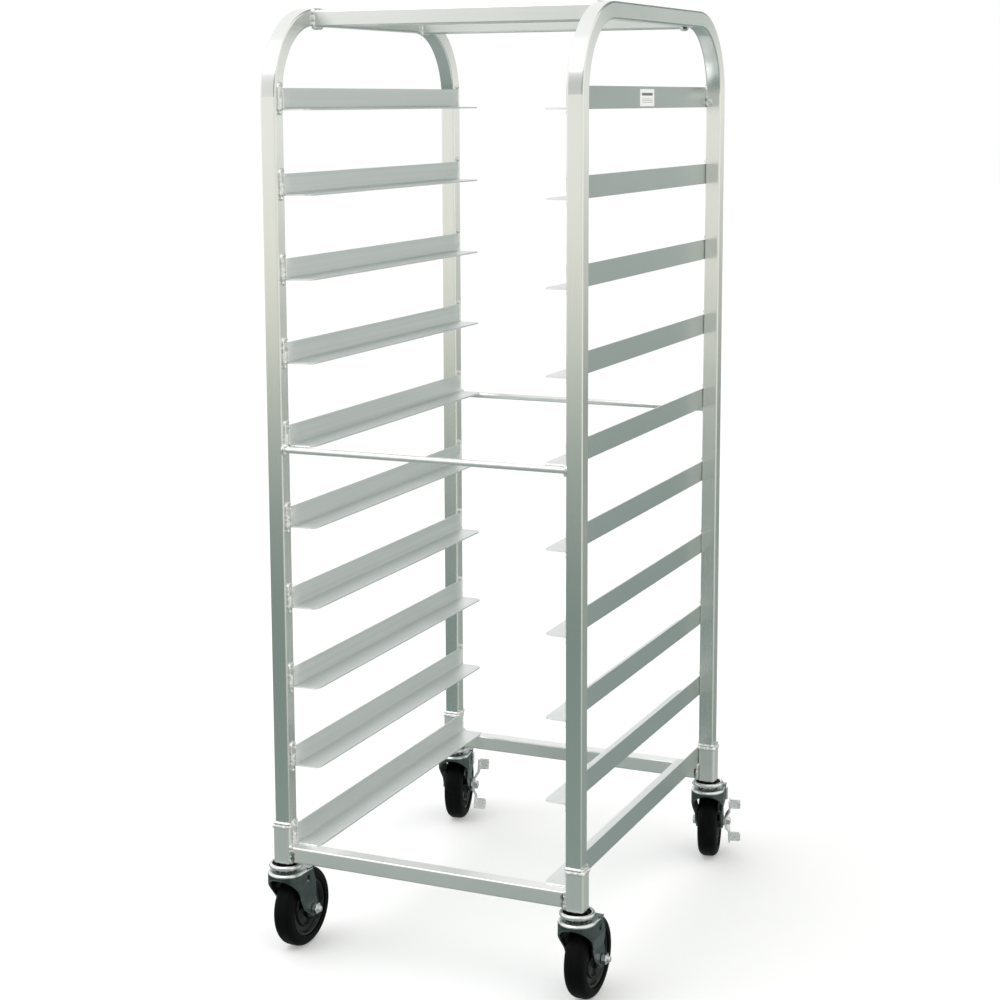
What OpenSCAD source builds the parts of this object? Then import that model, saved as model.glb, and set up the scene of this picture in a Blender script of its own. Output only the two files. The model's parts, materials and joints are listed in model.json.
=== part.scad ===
// Sheet pan rack: ten pairs of angle slides on two bent side frames, on four swivel casters.
// Millimetres, +Z up, +X to the right, +Y to the back, origin on the floor under the middle of the outline.

/* [Frame] */
// width over the posts
rack_w = 514.4; // [480:0.1:560]
// depth over the posts
rack_d = 660.4; // [600:0.1:720]
// height from the floor to the top of the side rails
rack_h = 1477; // [1200:1:1800]
// outside size of the square tube
tube_w = 25.4; // [20:0.1:32]
// wall of the square tube
tube_wall = 1.65; // [1.2:0.05:3]
// outside corner radius of the square tube
tube_corner = 3; // [2:0.1:5]
// centreline radius of the bends between posts and rails
bend_r = 120; // [90:1:150]
// front post face to the middle of the front top tube
top_front_set = 135; // [120:1:200]
// rear post face to the middle of the rear top tube
top_rear_set = 142; // [120:1:200]
// how far the top tubes sit below the top of the rails
top_drop = 2.3; // [0:0.1:5]
// how far the bottom tubes sit behind the post faces
bottom_set = 1.5; // [0:0.1:5]

/* [Slides] */
// pairs of slides
slide_pairs = 10; // [10:1:10]
// distance from slide to slide
slide_pitch = 127; // [100:1:160]
// floor to the top edge of the top slide
slide_top = 1357; // [1200:1:1400]
// height of the upright flange
web_h = 33; // [25:0.5:45]
// width of the shelf flange, from the post face
shelf_w = 42.5; // [35:0.5:60]
// thickness of both flanges
slide_t = 2.3; // [1.6:0.1:3.5]
// inside fillet between the flanges
slide_fillet = 3; // [1:0.5:5]
// rounded corners at the shelf ends
shelf_corner = 11; // [2:0.5:20]
// front post face to the front end of a slide
slide_front_gap = 21; // [2:0.5:30]
// rear post face to the rear end of a slide
slide_rear_gap = 12.4; // [2:0.1:30]

/* [Rods] */
// diameter of the two tie rods
rod_d = 10.2; // [8:0.1:14]
// height of the front tie rod
front_rod_z = 812.8; // [700:0.1:900]
// height of the rear tie rod
rear_rod_z = 812.8; // [700:0.1:900]
// outer face of a post to the middle of a rod
rod_set = 7.2; // [6:0.1:18]

/* [Casters] */
// wheel diameter
wheel_d = 127; // [100:1:150]
// tread width
tread_w = 34; // [25:0.5:40]
// swivel axis to wheel axis
trail = 43; // [30:0.5:55]
// outside size of the caster socket
socket_w = 29; // [27:0.1:34]
// outside corner radius of the caster sockets
socket_corner = 5; // [3:0.5:8]
// height of the caster socket
socket_h = 64; // [40:0.5:90]
// how far the socket sits outward of the post
socket_shift = 1.8; // [0:0.1:3]
// round stem diameter
stem_d = 22; // [18:0.1:24]
// diameter of the upper race cap
cap_d = 54; // [44:0.5:60]
// outside width of the fork crown
crown_w = 58; // [50:0.5:64]
// outside width of the fork at the axle
fork_w = 47; // [42:0.5:54]
// fork sheet thickness
fork_t = 3; // [2:0.1:4]
// rest direction of the front left caster
turn_fl = -3.3; // [-180:0.1:180]
// rest direction of the front right caster
turn_fr = -0.8; // [-180:0.1:180]
// rest direction of the rear left caster
turn_rl = 12.5; // [-180:0.1:180]
// rest direction of the rear right caster
turn_rr = 11.7; // [-180:0.1:180]
// rest lean of the left brake lever, upper end to the back when below zero
lean_rl = -20; // [-20:0.5:20]
// rest lean of the right brake lever
lean_rr = 20; // [-20:0.5:20]

/* [Hidden] */
$fn = 48;
eps = 0.02;
half_w = rack_w / 2;
half_d = rack_d / 2;
bend_out = bend_r + tube_w / 2;
post_x = half_w - tube_w / 2;
post_y = half_d - tube_w / 2;
face_x = half_w - tube_w;
axle_z = wheel_d / 2;
socket_z0 = 153.5;
socket_z1 = socket_z0 + socket_h;
slide_len = rack_d - slide_front_gap - slide_rear_gap;
slide_y0 = -half_d + slide_front_gap;
slide10_z = slide_top - (slide_pairs - 1) * slide_pitch - web_h;
bottom_z = slide10_z - tube_w;
top_z = rack_h - top_drop - tube_w;
front_tube_y = -half_d + top_front_set;
rear_tube_y = half_d - top_rear_set;
bottom_y = half_d - bottom_set - tube_w / 2;
socket_in = face_x + tube_w / 2 + socket_shift - socket_w / 2;

cap_z0 = 143.5;
cap_z1 = 151.5;
crown_z1 = 138.4;
crown_z0 = crown_z1 - fork_t;
ball_r = 2.45;
ball_ring_r = 16;
balls_per_race = 12;
kingpin_d = 12;
bolt_d = 10;
bush_d = 13;
run_fit = 0.06;
hub_r = 46;
boss_d = 32;
fork_gap = fork_w - 2 * fork_t;
// the trailing rear wheels move the middle of the outline behind the middle of the frame
shift_y = -38.6;
boss_w = fork_gap - 1;
lever_x0 = fork_w / 2 + 3.3;
lever_t = 2.6;
lever_w = 14;
// middle of the tabs, above and below the axle
tab_up = 39;
tab_down = 34.5;
tab_t = 2.4;
tab_h = 19.5;
tab_reach = 17.5;
tab_r = 3;
catch_t = 2.4;
catch_y = 20;
catch_z0 = 111;
catch_z1 = 132;

// a square with round corners, centred
module round_square(size, r) {
    square([size, size - 2 * r], center = true);
    square([size - 2 * r, size], center = true);
    for (sx = [-1, 1]) for (sy = [-1, 1])
        translate([sx * (size / 2 - r), sy * (size / 2 - r)]) circle(r = r);
}

module tube_outline() {
    round_square(tube_w, tube_corner);
}

module tube_section() {
    difference() {
        tube_outline();
        round_square(tube_w - 2 * tube_wall, tube_corner - tube_wall);
    }
}

// a straight length of tube along +X, centred on the axis
module tube_x(len) {
    rotate([90, 0, 90]) linear_extrude(len) tube_section();
}

// one bent side frame: front post, top rail and rear post from a single tube
module side_frame(side) {
    color([0.78, 0.80, 0.79]) translate([side * post_x, 0, 0]) {
        translate([0, -half_d, 0]) post_and_bend();
        mirror([0, 1, 0]) translate([0, -half_d, 0]) post_and_bend();
        translate([0, -half_d + bend_out, rack_h - tube_w / 2]) rotate([-90, 0, 0])
            linear_extrude(rack_d - 2 * bend_out) tube_section();
    }
}

// the front post: upright, then a quarter bend toward +Y
module post_and_bend() {
    post_h = rack_h - bend_out - socket_z1;
    translate([0, tube_w / 2, socket_z1]) linear_extrude(post_h) tube_section();
    translate([0, bend_out, rack_h - bend_out]) rotate([90, 0, -90])
        rotate_extrude(angle = 90) translate([bend_r, 0]) tube_section();
}

module top_tube(y) {
    color([0.80, 0.81, 0.80]) translate([-face_x, y, top_z + tube_w / 2]) tube_x(2 * face_x);
}

module bottom_tube(y) {
    color([0.80, 0.81, 0.80]) translate([-socket_in, y, bottom_z + tube_w / 2]) tube_x(2 * socket_in);
}

module tie_rod(y, z) {
    color([0.80, 0.81, 0.80])
        translate([-face_x, y, z]) rotate([0, 90, 0]) cylinder(d = rod_d, h = 2 * face_x);
}

// section of a slide: upright flange on the left, shelf at the bottom pointing to +X
module slide_section() {
    difference() {
        union() {
            square([slide_t, web_h]);
            square([shelf_w, slide_t]);
            square([slide_t + slide_fillet, slide_t + slide_fillet]);
        }
        translate([slide_t + slide_fillet, slide_t + slide_fillet]) circle(r = slide_fillet);
    }
}

// the corner left over when a shelf end is rounded off
module corner_cut() {
    translate([0, 0, -1]) linear_extrude(slide_t + 2) difference() {
        square([shelf_corner + 1, shelf_corner + 1]);
        circle(r = shelf_corner);
    }
}

// a slide as it stands on the left side, front end at Y = 0
module slide_bar() {
    difference() {
        translate([0, slide_len, 0]) rotate([90, 0, 0]) linear_extrude(slide_len) slide_section();
        translate([shelf_w - shelf_corner, slide_len - shelf_corner, 0]) corner_cut();
        translate([shelf_w - shelf_corner, shelf_corner, 0]) mirror([0, 1, 0]) corner_cut();
    }
}

module slide(side, number) {
    z = slide_top - (number - 1) * slide_pitch - web_h;
    color([0.74, 0.78, 0.77]) mirror([side > 0 ? 1 : 0, 0, 0]) translate([-face_x, slide_y0, z]) slide_bar();
}

// at a corner: sx is -1 left or 1 right, sy is -1 front or 1 rear
module socket(sx, sy) {
    color([0.80, 0.82, 0.80]) translate([sx * (post_x + socket_shift), sy * post_y, 0]) difference() {
        translate([0, 0, socket_z0]) linear_extrude(socket_h) round_square(socket_w, socket_corner);
        translate([0, 0, socket_z0 - 1]) cylinder(d = stem_d, h = socket_h - 5);
    }
}

// everything of a caster that stays with the rack is placed at the same corner
module at_corner(sx, sy, turn) {
    translate([sx * (post_x + socket_shift), sy * post_y, 0]) rotate([0, 0, turn]) children();
}

module corners() {
    for (sx = [-1, 1]) for (sy = [-1, 1]) at_corner(sx, sy, 0) children();
}

// stem in the socket, kingpin down through the crown, riveted head below
module stem() {
    translate([0, 0, cap_z1]) cylinder(d = stem_d, h = socket_z0 + socket_h - 8 - cap_z1);
    translate([0, 0, crown_z0 - 4]) cylinder(d = kingpin_d, h = cap_z1 - crown_z0 + 4.5);
    translate([0, 0, crown_z0 - 3.6]) cylinder(d = 21, h = 3.2);
}

module caster_stems() {
    color([0.72, 0.73, 0.74]) corners() stem();
}

// dished cap with a rounded rim, its collar carries the socket
module race_cap() {
    rim_r = (cap_z1 - cap_z0) / 2;
    rotate_extrude() {
        translate([kingpin_d / 2, cap_z0]) square([cap_d / 2 - rim_r - kingpin_d / 2, 2.5]);
        translate([cap_d / 2 - rim_r - 3, cap_z0]) square([3, 2 * rim_r]);
        translate([cap_d / 2 - rim_r, cap_z0 + rim_r]) circle(r = rim_r);
        translate([stem_d / 2, cap_z0]) square([4, socket_z0 - cap_z0]);
        translate([kingpin_d / 2, cap_z0]) square([stem_d / 2 + 1 - kingpin_d / 2, cap_z1 - cap_z0]);
    }
}

module upper_races() {
    color([0.75, 0.76, 0.77]) corners() race_cap();
}

module swivel_balls() {
    color([0.65, 0.66, 0.68]) corners() for (i = [0 : balls_per_race - 1])
        rotate([0, 0, i * 360 / balls_per_race]) translate([ball_ring_r, 0, cap_z0 - ball_r])
            sphere(r = ball_r, $fn = 24);
}

// half of the fork seen along the wheel: flat crown, round shoulder, leg stepping in to the axle
module fork_half() {
    shoulder = 6;
    out = crown_w / 2;
    low = fork_w / 2;
    square_top = crown_z1 - shoulder;
    translate([0, crown_z0]) square([out - shoulder, fork_t]);
    difference() {
        translate([out - shoulder, square_top]) circle(r = shoulder);
        translate([out - shoulder, square_top]) circle(r = shoulder - fork_t);
        translate([out - 3 * shoulder, square_top - 2 * shoulder]) square([4 * shoulder, 2 * shoulder]);
        translate([out - 3 * shoulder, square_top - 1]) square([2 * shoulder, 2 * shoulder]);
    }
    polygon([[out, square_top], [out, 110], [low, 86], [low, 40],
        [low - fork_t, 40], [low - fork_t, 85], [out - fork_t, 109], [out - fork_t, square_top]]);
}

// the fork's side view: crown, swept front edge, round nose at the axle, leaning rear edge
module fork_side() {
    front = -crown_w / 2 - 1;
    sweep_r = 157;
    difference() {
        union() {
            polygon([[front, crown_z1 + 1], [32, crown_z1 + 1], [trail + 12.5, axle_z + 5],
                [trail + 9, axle_z - 10], [trail - 9.5, axle_z - 9.6], [trail - 29, axle_z + 6],
                [front, axle_z + 6]]);
            translate([trail, axle_z]) circle(r = 13.5);
        }
        translate([-132.3, 11.7]) circle(r = sweep_r, $fn = 128);
    }
}

module fork() {
    difference() {
        intersection() {
            union() {
                rotate([0, 0, 180]) rotate_extrude(angle = 180) fork_half();
                translate([0, 70, 0]) rotate([90, 0, 0]) linear_extrude(70) {
                    fork_half();
                    mirror([1, 0]) fork_half();
                }
            }
            translate([-40, 0, 0]) rotate([90, 0, 90]) linear_extrude(80) fork_side();
        }
        translate([0, 0, 120]) cylinder(d = kingpin_d + 2 * run_fit, h = 30);
        translate([-40, trail, axle_z]) rotate([0, 90, 0]) cylinder(d = bolt_d, h = 80);
        for (s = [-1, 1]) translate([s * crown_w / 2, 20.8, 122]) cube([10, 9, 10], center = true);
    }
    translate([-crown_w / 2 - 1, 20, crown_z1 - 2.4]) cube([crown_w + 2, 12, 2.4]);
}

module fork_at(sx, sy, turn) {
    color([0.45, 0.49, 0.50]) at_corner(sx, sy, turn) fork();
}

// rubber tyre with round shoulders and a groove on both sides
module tyre() {
    shoulder = 12;
    half = tread_w / 2;
    translate([0, trail, axle_z]) rotate([0, 90, 0]) rotate_extrude($fn = 96) difference() {
        union() {
            translate([hub_r, -half]) square([axle_z - shoulder - hub_r, tread_w]);
            translate([hub_r, -half + shoulder]) square([axle_z - hub_r, tread_w - 2 * shoulder]);
            for (s = [-1, 1]) translate([axle_z - shoulder, s * (half - shoulder)]) circle(r = shoulder);
        }
        for (s = [-1, 1]) translate([hub_r + 6, s * half]) circle(r = 1.5);
    }
}

module tyre_at(sx, sy, turn) {
    color([0.06, 0.06, 0.06]) at_corner(sx, sy, turn) tyre();
}

// moulded wheel core: rim, thin web with ring rib, long boss
module hub() {
    rim_w = 28;
    translate([0, trail, axle_z]) rotate([0, 90, 0]) rotate_extrude($fn = 96) {
        translate([hub_r - 5, -rim_w / 2]) square([5, rim_w]);
        translate([boss_d / 2 - 1, -4]) square([hub_r - boss_d / 2, 8]);
        translate([29, -9]) square([2.5, 18]);
        translate([bush_d / 2 + run_fit, -boss_w / 2]) square([boss_d / 2 - bush_d / 2 - run_fit, boss_w]);
    }
}

module hub_at(sx, sy, turn) {
    color([0.10, 0.10, 0.11]) at_corner(sx, sy, turn) hub();
}

// axle bolt with hex head, spanner bush and nut; a braked caster has a thin nut under its lever
module axle(nut_h) {
    head_h = 6.5;
    translate([0, trail, axle_z]) rotate([0, 90, 0]) {
        translate([0, 0, -fork_w / 2 - head_h]) cylinder(d = 18, h = head_h, $fn = 6);
        translate([0, 0, -fork_w / 2 - 1]) cylinder(d = bolt_d, h = fork_w + 14.5);
        translate([0, 0, -fork_gap / 2]) cylinder(d = bush_d, h = fork_gap);
        translate([0, 0, fork_w / 2]) cylinder(d = 18, h = nut_h, $fn = 6);
    }
}

module axle_at(sx, sy, turn) {
    color([0.78, 0.79, 0.80]) at_corner(sx, sy, turn) axle(sy > 0 ? 3 : 9);
}

// a plate tab with round corners, standing across the lever; z is its middle
module tab(x, z) {
    translate([x, tab_t / 2, z]) rotate([90, 0, 0]) linear_extrude(tab_t) {
        translate([0, -tab_h / 2]) square([tab_reach - tab_r, tab_h]);
        translate([0, -tab_h / 2 + tab_r]) square([tab_reach, tab_h - 2 * tab_r]);
        for (s = [-1, 1]) translate([tab_reach - tab_r, s * (tab_h / 2 - tab_r)]) circle(r = tab_r);
    }
}

// two-ended brake lever turning on the axle line, a step tab at each end
module brake_lever(lean) {
    up = lever_x0 + 8;
    down = lever_x0 + 5.5;
    top = tab_up + tab_h / 2 - 2;
    foot = tab_down + tab_h / 2;
    translate([0, trail, axle_z]) rotate([lean, 0, 0]) {
        difference() {
            rotate([90, 0, 0]) linear_extrude(lever_w, center = true)
                polygon([[up, top], [up, 24.5], [lever_x0, 10.5], [lever_x0, -11.5], [down, -19.5],
                    [down, -foot], [down + lever_t, -foot], [down + lever_t, -18.5],
                    [lever_x0 + lever_t, -10.5], [lever_x0 + lever_t, 10], [up + lever_t, 24],
                    [up + lever_t, top]]);
            rotate([0, 90, 0]) cylinder(d = bolt_d + 2 * run_fit, h = 60);
        }
        tab(up + lever_t - eps, tab_up);
        tab(down + lever_t - eps, -tab_down);
    }
}

module brake_lever_at(sx, sy, turn, lean) {
    color([0.82, 0.83, 0.84]) at_corner(sx, sy, turn) brake_lever(lean);
}

// nut that holds the lever on the axle bolt, and the toothed catch plate on the fork leg
module brake_post() {
    leg = crown_w / 2;
    translate([lever_x0 + lever_t + 0.3, trail, axle_z]) rotate([0, 90, 0]) difference() {
        cylinder(d = 16, h = 6, $fn = 6);
        translate([0, 0, -1]) cylinder(d = bolt_d, h = 8);
    }
    translate([leg, catch_y + 9, 0]) rotate([90, 0, 0]) linear_extrude(9) {
        translate([0, catch_z0]) square([catch_t, catch_z1 - catch_z0]);
        for (i = [0 : 3]) translate([catch_t - eps, catch_z0 + 5.4 * i])
            polygon([[0, 0], [2, 1.6], [0, 4.8]]);
    }
}

module brake_post_at(sx, sy, turn) {
    color([0.80, 0.81, 0.82]) at_corner(sx, sy, turn) brake_post();
}

// arch of weld round one end of an upright flange, flat on the post; the flange end is at Y = 0
module arch_weld(reach, under) {
    over = 7;
    round_r = min(8, reach);
    rotate([90, 0, 90]) linear_extrude(slide_t) difference() {
        union() {
            translate([-reach, -under]) square([reach + 3, web_h + under + over - round_r]);
            translate([-reach + round_r, web_h + over - round_r]) circle(r = round_r);
            translate([-reach + round_r, web_h]) square([reach + 3 - round_r, over]);
        }
        square([10, web_h]);
    }
}

// the weld keeps clear of the tie rods, and of the bottom tubes under the lowest slide
module slide_weld_pair(number) {
    z = slide_top - (number - 1) * slide_pitch - web_h;
    beside_rod = abs(z - front_rod_z) < 10;
    under = number == slide_pairs || beside_rod ? 0 : 4;
    translate([-face_x, slide_y0, z]) arch_weld(beside_rod ? 5.5 : 12, under);
    if (!beside_rod) translate([-face_x, slide_y0 + slide_len, z]) mirror([0, 1, 0]) arch_weld(7, under);
    if (beside_rod) translate([-face_x, slide_y0 + slide_len - 6, z + web_h]) cube([slide_t, 12, 6]);
}

module slide_welds() {
    color([0.90, 0.91, 0.90]) for (m = [0, 1]) mirror([m, 0, 0])
        for (n = [1 : slide_pairs]) slide_weld_pair(n);
}

// square collar of weld round a tube end that butts on a face; the face is at X = 0, the tube runs to +X
module collar_weld() {
    rotate([90, 0, 90]) linear_extrude(2.2) difference() {
        round_square(tube_w + 4.4, tube_corner + 2);
        tube_outline();
    }
}

module rod_weld() {
    rotate([0, 90, 0]) difference() {
        cylinder(d = rod_d + 1.6, h = 2.4);
        translate([0, 0, -1]) cylinder(d = rod_d, h = 5);
    }
}

module frame_welds() {
    color([0.90, 0.91, 0.90]) {
        for (m = [0, 1]) mirror([m, 0, 0]) {
            translate([-face_x, front_tube_y, top_z + tube_w / 2]) collar_weld();
            translate([-face_x, rear_tube_y, top_z + tube_w / 2]) collar_weld();
            translate([-face_x, -half_d + rod_set, front_rod_z]) rod_weld();
            translate([-face_x, half_d - rod_set, rear_rod_z]) rod_weld();
            for (sy = [-1, 1]) {
                translate([-socket_in, sy * bottom_y, bottom_z + tube_w / 2]) bottom_weld();
                translate([-post_x, sy * post_y, socket_z1]) socket_weld();
            }
        }
    }
}

// like a collar, but open above where the lowest slide lies on the tube
module bottom_weld() {
    difference() {
        collar_weld();
        translate([-1, -20, tube_w / 2]) cube([5, 40, 10]);
    }
}

// bead between the end of a post and the top of its socket
module socket_weld() {
    linear_extrude(4) difference() {
        translate([-socket_shift, 0]) round_square(socket_w - 0.6, socket_corner);
        tube_outline();
    }
}

module id_label() {
    color([0.97, 0.97, 0.96]) translate([face_x, -24, slide_top - 4 - 26]) cube([0.3, 65, 26]);
}

// the frame stands off centre so that the origin is under the middle of the whole outline
module place() {
    translate([0, shift_y, 0]) children();
}

place() side_frame(-1);  // left_side_frame
place() side_frame(1);  // right_side_frame
place() top_tube(front_tube_y);  // top_front_tube
place() top_tube(rear_tube_y);  // top_rear_tube
place() bottom_tube(-bottom_y);  // bottom_front_tube
place() bottom_tube(bottom_y);  // bottom_rear_tube
place() tie_rod(-half_d + rod_set, front_rod_z);  // front_tie_rod
place() tie_rod(half_d - rod_set, rear_rod_z);  // rear_tie_rod
place() slide(-1, 1);  // left_slide_01
place() slide(-1, 2);  // left_slide_02
place() slide(-1, 3);  // left_slide_03
place() slide(-1, 4);  // left_slide_04
place() slide(-1, 5);  // left_slide_05
place() slide(-1, 6);  // left_slide_06
place() slide(-1, 7);  // left_slide_07
place() slide(-1, 8);  // left_slide_08
place() slide(-1, 9);  // left_slide_09
place() slide(-1, 10);  // left_slide_10
place() slide(1, 1);  // right_slide_01
place() slide(1, 2);  // right_slide_02
place() slide(1, 3);  // right_slide_03
place() slide(1, 4);  // right_slide_04
place() slide(1, 5);  // right_slide_05
place() slide(1, 6);  // right_slide_06
place() slide(1, 7);  // right_slide_07
place() slide(1, 8);  // right_slide_08
place() slide(1, 9);  // right_slide_09
place() slide(1, 10);  // right_slide_10
place() socket(-1, -1);  // socket_fl
place() socket(1, -1);  // socket_fr
place() socket(-1, 1);  // socket_rl
place() socket(1, 1);  // socket_rr
place() caster_stems();
place() upper_races();
place() swivel_balls();
place() slide_welds();
place() frame_welds();
place() id_label();
place() fork_at(-1, -1, turn_fl);  // fork_fl
place() fork_at(1, -1, turn_fr);  // fork_fr
place() fork_at(-1, 1, turn_rl);  // fork_rl
place() fork_at(1, 1, turn_rr);  // fork_rr
place() tyre_at(-1, -1, turn_fl);  // tyre_fl
place() tyre_at(1, -1, turn_fr);  // tyre_fr
place() tyre_at(-1, 1, turn_rl);  // tyre_rl
place() tyre_at(1, 1, turn_rr);  // tyre_rr
place() hub_at(-1, -1, turn_fl);  // hub_fl
place() hub_at(1, -1, turn_fr);  // hub_fr
place() hub_at(-1, 1, turn_rl);  // hub_rl
place() hub_at(1, 1, turn_rr);  // hub_rr
place() axle_at(-1, -1, turn_fl);  // axle_fl
place() axle_at(1, -1, turn_fr);  // axle_fr
place() axle_at(-1, 1, turn_rl);  // axle_rl
place() axle_at(1, 1, turn_rr);  // axle_rr
place() brake_lever_at(-1, 1, turn_rl, lean_rl);  // brake_lever_rl
place() brake_lever_at(1, 1, turn_rr, lean_rr);  // brake_lever_rr
place() brake_post_at(-1, 1, turn_rl);  // brake_post_rl
place() brake_post_at(1, 1, turn_rr);  // brake_post_rr
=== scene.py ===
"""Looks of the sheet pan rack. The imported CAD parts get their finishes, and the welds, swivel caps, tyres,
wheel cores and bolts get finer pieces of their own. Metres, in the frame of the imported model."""
import json
import math
import random

import bmesh
import bpy
from mathutils import Matrix, Vector, noise


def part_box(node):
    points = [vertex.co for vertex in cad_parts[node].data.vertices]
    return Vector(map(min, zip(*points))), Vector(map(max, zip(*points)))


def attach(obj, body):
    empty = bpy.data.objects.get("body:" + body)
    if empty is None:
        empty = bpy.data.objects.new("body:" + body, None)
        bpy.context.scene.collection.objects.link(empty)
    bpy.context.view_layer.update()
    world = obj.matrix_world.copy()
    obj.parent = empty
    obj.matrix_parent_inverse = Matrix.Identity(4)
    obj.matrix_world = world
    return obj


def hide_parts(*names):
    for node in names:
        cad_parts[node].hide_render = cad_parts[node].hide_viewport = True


MM = 0.001
CORNERS = ("fl", "fr", "rl", "rr")
BRAKED = ("rl", "rr")
CROSS_TUBES = ("top_front_tube", "top_rear_tube", "bottom_front_tube", "bottom_rear_tube")
TIE_RODS = ("front_tie_rod", "rear_tie_rod")
SLIDE_COUNT = 10
TUBE_W = 25.4 * MM
BEND_OUT = 132.7 * MM       # outside radius of the bent side frames
WEB_H = 33 * MM             # upright flange of a slide
SHELF_T = 2.3 * MM
ROD_R = 5.1 * MM
SOCKET_H = 64 * MM
RIPPLE = 2.6 * MM           # distance between the ripples of a weld
FORK_W = 47 * MM            # outside width over the fork legs
BOLT_R = 5 * MM
BOLT_END = 13.4 * MM        # how far the bolt stands out past a fork leg
BUSH_R = 6.5 * MM
NUT_W = 18 * MM             # across the corners of the nut and the bolt head
TAB_H = 19.5 * MM           # brake tab: height, reach along the axle, thickness, corner radius
TAB_REACH = 17.5 * MM
TAB_T = 2.4 * MM
TAB_EDGE = 2 * MM

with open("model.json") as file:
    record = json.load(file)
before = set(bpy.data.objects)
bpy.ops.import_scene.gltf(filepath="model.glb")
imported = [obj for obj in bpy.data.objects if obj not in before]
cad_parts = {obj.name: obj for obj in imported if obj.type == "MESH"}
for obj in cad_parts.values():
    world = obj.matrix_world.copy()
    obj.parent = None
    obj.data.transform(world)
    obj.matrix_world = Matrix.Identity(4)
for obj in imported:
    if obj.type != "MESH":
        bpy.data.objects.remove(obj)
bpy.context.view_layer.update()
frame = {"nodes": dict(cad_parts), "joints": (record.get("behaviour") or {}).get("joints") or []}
NODES = frame["nodes"]
JOINTS = {j["name"]: j for j in frame["joints"]}
random.seed(7)

FRAME_LO, FRAME_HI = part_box("left_side_frame")
MID_Y = (FRAME_LO.y + FRAME_HI.y) / 2
HALF_D = (FRAME_HI.y - FRAME_LO.y) / 2
RACK_H = FRAME_HI.z
FACE_X = FRAME_HI.x                         # inner face of the left posts, below zero
POST_FRONT = FRAME_LO.y                     # outer faces of the front and rear posts
POST_REAR = FRAME_HI.y
SLIDE_LO, SLIDE_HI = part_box("left_slide_01")
SLIDE_MID = (SLIDE_LO.y + SLIDE_HI.y) / 2
SLIDE_HALF = (SLIDE_HI.y - SLIDE_LO.y) / 2


# ---------------------------------------------------------------- mesh tools

def add_piece(name, verts, faces, material, body):
    """A closed mesh as a new piece on a body."""
    mesh = bpy.data.meshes.new(name)
    mesh.from_pydata([tuple(v) for v in verts], [], faces)
    tidy = bmesh.new()
    tidy.from_mesh(mesh)
    bmesh.ops.recalc_face_normals(tidy, faces=tidy.faces)
    tidy.to_mesh(mesh)
    tidy.free()
    mesh.polygons.foreach_set("use_smooth", [True] * len(mesh.polygons))
    obj = bpy.data.objects.new(name, mesh)
    bpy.context.scene.collection.objects.link(obj)
    mesh.materials.append(material)
    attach(obj, body)
    return obj


def sharpen(obj, degrees=35):
    """Edges steeper than this stay crisp on a smooth-shaded piece."""
    tidy = bmesh.new()
    tidy.from_mesh(obj.data)
    for edge in tidy.edges:
        if len(edge.link_faces) == 2 and edge.calc_face_angle(0) > math.radians(degrees):
            edge.smooth = False
    tidy.to_mesh(obj.data)
    tidy.free()


class Shape:
    """Vertices and faces of several closed bodies, gathered into one piece."""

    def __init__(self):
        self.verts = []
        self.faces = []

    def add(self, verts, faces, matrix=None):
        start = len(self.verts)
        self.verts += [matrix @ Vector(v) for v in verts] if matrix else [Vector(v) for v in verts]
        self.faces += [[start + i for i in face] for face in faces]


def rings_to_faces(count, around, close=False):
    """Faces of a tube of rings, each ring having the same number of points."""
    faces = []
    spans = count if close else count - 1
    for i in range(spans):
        low, high = i * around, ((i + 1) % count) * around
        for k in range(around):
            nxt = (k + 1) % around
            faces.append([low + k, low + nxt, high + nxt, high + k])
    if not close:
        faces.append(list(range(around))[::-1])
        faces.append([(count - 1) * around + k for k in range(around)])
    return faces


def lathe(profile, segments=96):
    """A closed profile of (radius, height) points turned about the Z axis."""
    verts = []
    for i in range(segments):
        a = 2 * math.pi * i / segments
        verts += [Vector((r * math.cos(a), r * math.sin(a), z)) for r, z in profile]
    return verts, rings_to_faces(segments, len(profile), close=True)


def arc(cx, cz, r, start, end, steps):
    """Points on an arc, angles in degrees."""
    turns = [math.radians(start + (end - start) * i / steps) for i in range(steps + 1)]
    return [(cx + r * math.cos(t), cz + r * math.sin(t)) for t in turns]


def resample(points, step, closed=False):
    """Points at even steps along a polyline, and its length."""
    pts = [Vector(p) for p in points]
    if closed:
        pts.append(pts[0].copy())
    lengths = [0.0]
    for a, b in zip(pts, pts[1:]):
        lengths.append(lengths[-1] + (b - a).length)
    total = lengths[-1]
    count = max(3, round(total / step))
    out, k = [], 0
    for i in range(count if closed else count + 1):
        s = total * i / count
        while k < len(pts) - 2 and lengths[k + 1] < s:
            k += 1
        span = max(lengths[k + 1] - lengths[k], 1e-9)
        out.append(pts[k].lerp(pts[k + 1], (s - lengths[k]) / span))
    return out, total


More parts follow.
